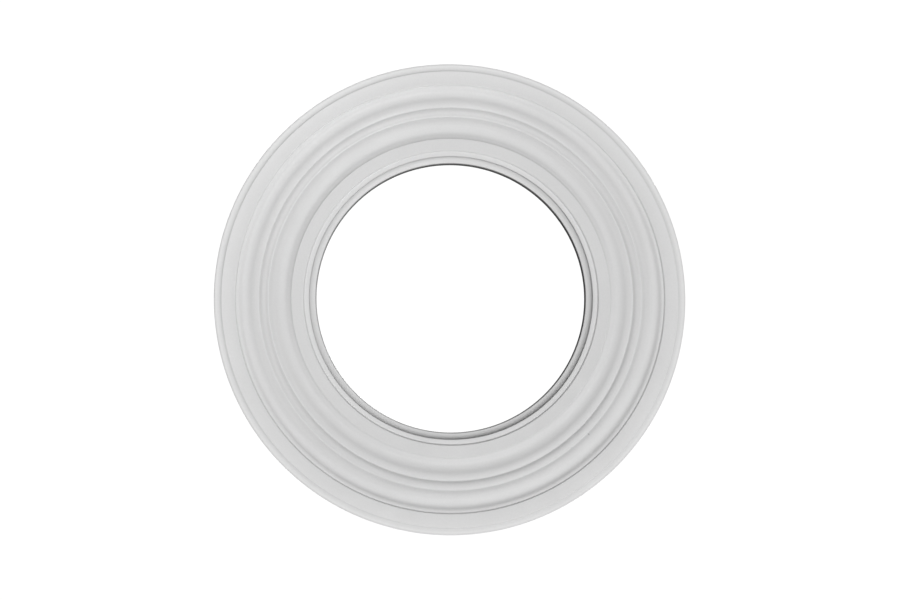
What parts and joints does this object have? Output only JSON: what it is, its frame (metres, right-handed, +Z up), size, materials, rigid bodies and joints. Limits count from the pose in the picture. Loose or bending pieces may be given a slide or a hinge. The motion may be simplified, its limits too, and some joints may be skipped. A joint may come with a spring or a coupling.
{
  "type": "ceiling rose",
  "caption": "White moulded ceiling rose: an open ring with a wide flat fascia, a cove, paired beads and an ogee, and a flat back for fixing to a ceiling.",
  "frame": {"origin": "centre of the ring on the plane of its flat back, which lies on the ceiling", "axes": "+Z up along the ring's axis, out of the flat back and into the ceiling; the moulded face looks down, -Z; X and Y are any two square radii"},
  "size_m": [0.6099, 0.61, 0.0222],
  "materials": {
    "primed_moulding": "matt white factory primer on rigid foam"
  },
  "bodies": {
    "root": {"ceiling_rose": "primed_moulding"}
  },
  "joints": []
}
